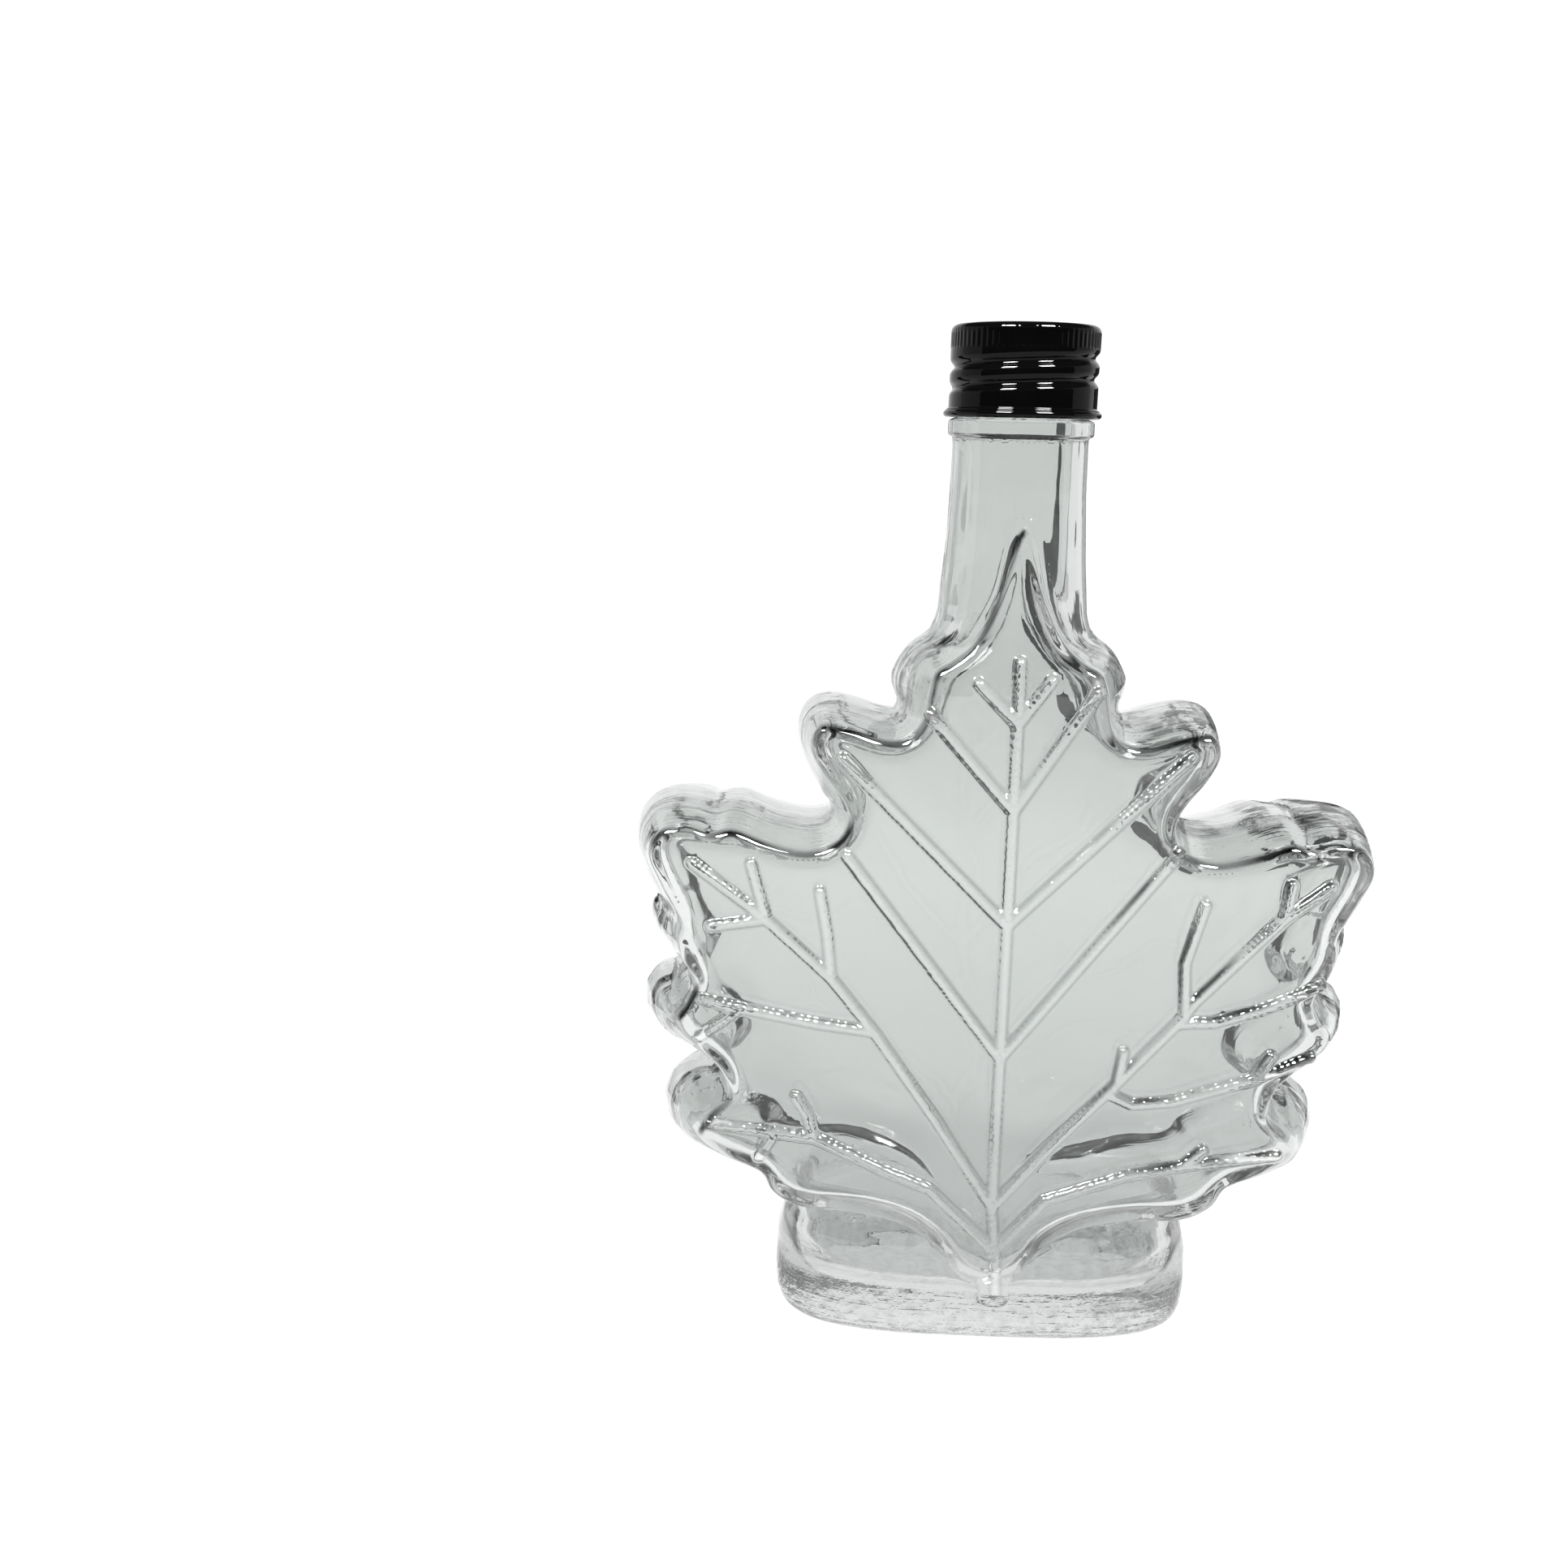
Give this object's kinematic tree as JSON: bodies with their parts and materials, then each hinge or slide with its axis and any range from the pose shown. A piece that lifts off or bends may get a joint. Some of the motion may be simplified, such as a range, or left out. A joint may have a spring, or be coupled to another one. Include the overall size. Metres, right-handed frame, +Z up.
{
  "type": "maple leaf glass bottle",
  "caption": "Flat clear glass bottle in the form of a maple leaf with raised veins on its front, empty, on an oval foot, with a round neck and a black screw cap.",
  "frame": {"origin": "middle of the foot's underside, on the surface that the bottle stands on", "axes": "+Z up through the neck, +X across the leaf to the right as seen from the front, front face towards -Y"},
  "size_m": [0.148, 0.0424, 0.2041],
  "materials": {
    "clear_glass": "clear smooth blown glass, slightly grey green",
    "black_lacquer": "thin drawn metal with glossy black lacquer"
  },
  "bodies": {
    "root": {"bottle": "clear_glass", "cap": "black_lacquer"}
  },
  "joints": []
}
